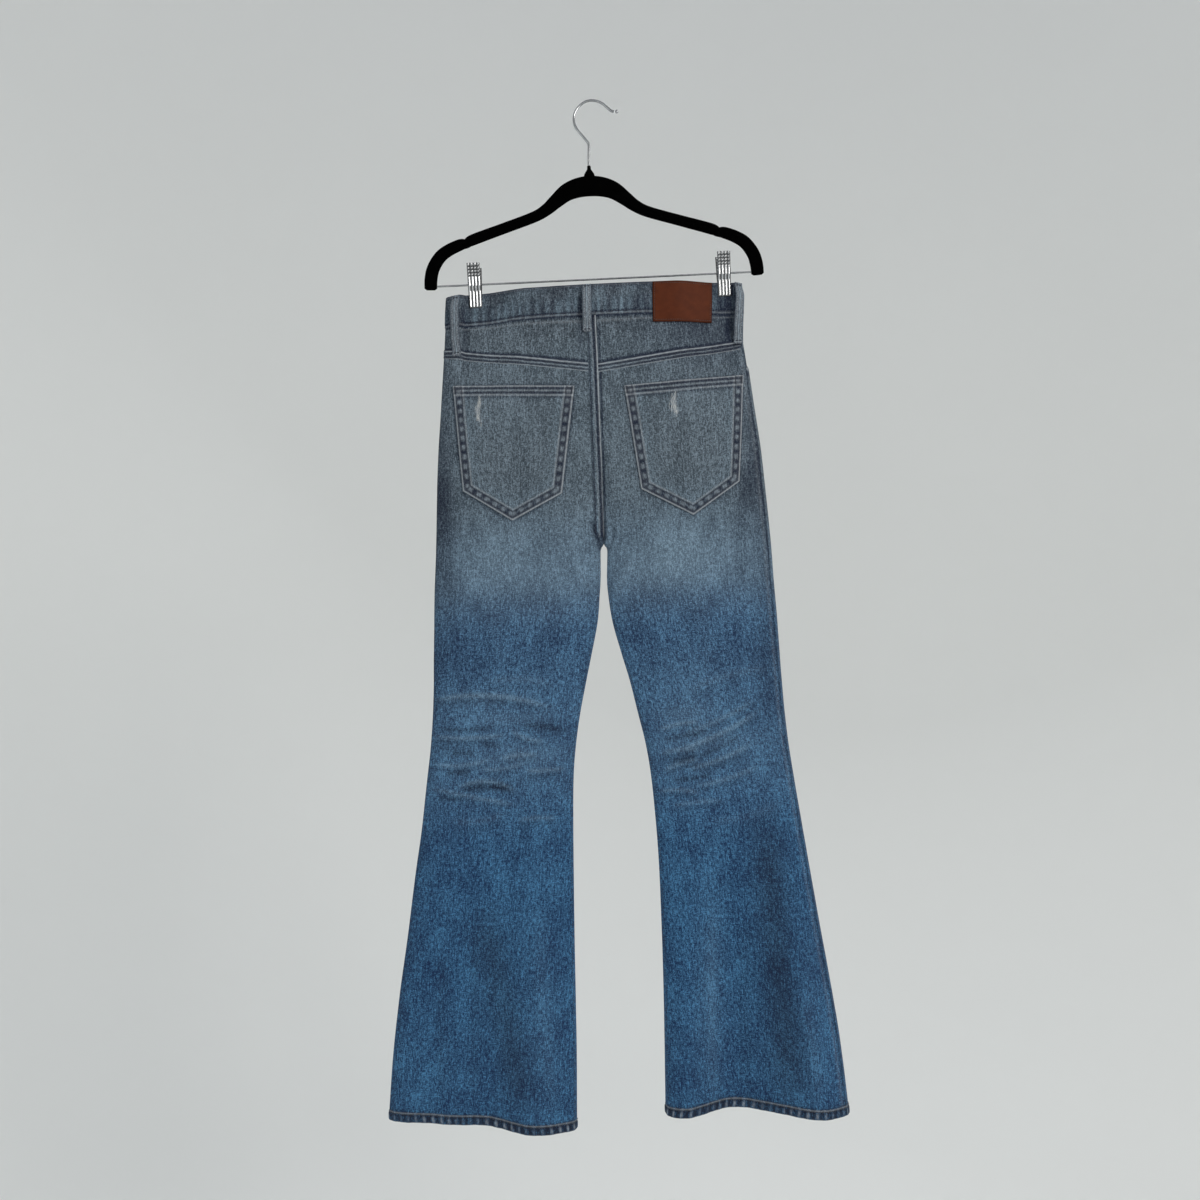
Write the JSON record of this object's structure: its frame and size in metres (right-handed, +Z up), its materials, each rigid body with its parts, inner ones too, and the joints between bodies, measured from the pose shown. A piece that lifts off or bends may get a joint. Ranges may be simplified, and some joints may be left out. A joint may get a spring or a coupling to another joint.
{
  "type": "flared wide leg jeans on a clip hanger",
  "caption": "Flared long jeans hung flat by the waistband from the clips of a slim velvet hanger, seen from the back.",
  "frame": {"origin": "inner top of the hanger's hook, where it rests on a peg or rail", "axes": "+Z up, +X to the right of a viewer who looks at the back of the jeans, -Y from the back of the jeans to that viewer"},
  "size_m": [0.6036, 0.0639, 1.3476],
  "materials": {
    "denim": "blue stretch denim, vertical slub",
    "faded_denim": "grey-blue faded denim",
    "leather": "smooth brown leather, bare",
    "brass": "aged brass",
    "zip_tape": "woven zip tape",
    "velvet": "black flocked velvet",
    "chrome": "bright chrome plate"
  },
  "bodies": {
    "root": {"back_left": "denim", "back_right": "denim", "front_left": "denim", "front_right": "denim", "hem_back_left": "denim", "hem_back_right": "denim", "hem_front_left": "denim", "hem_front_right": "denim", "fly_shield": "denim", "yoke_left": "faded_denim", "yoke_right": "faded_denim", "front_pocket_facing_left": "faded_denim", "front_pocket_facing_right": "faded_denim", "back_pocket_left": "faded_denim", "back_pocket_right": "faded_denim", "waistband_back": "faded_denim", "waistband_front_left": "faded_denim", "waistband_front_right": "faded_denim", "belt_loop_back_centre": "faded_denim", "belt_loop_back_left": "faded_denim", "belt_loop_back_right": "faded_denim", "belt_loop_front_left": "faded_denim", "belt_loop_front_right": "faded_denim", "waist_patch": "leather", "waist_button": "brass", "zip_slider": "brass", "zip": "zip_tape", "hanger_body": "velvet", "hanger_collar": "velvet", "hanger_hook": "chrome", "hanger_hook_tip": "chrome", "hanger_rod": "chrome", "clip_left_back_plate": "chrome", "clip_left_front_plate": "chrome", "clip_left_spring": "chrome", "clip_right_back_plate": "chrome", "clip_right_front_plate": "chrome", "clip_right_spring": "chrome"}
  },
  "joints": []
}
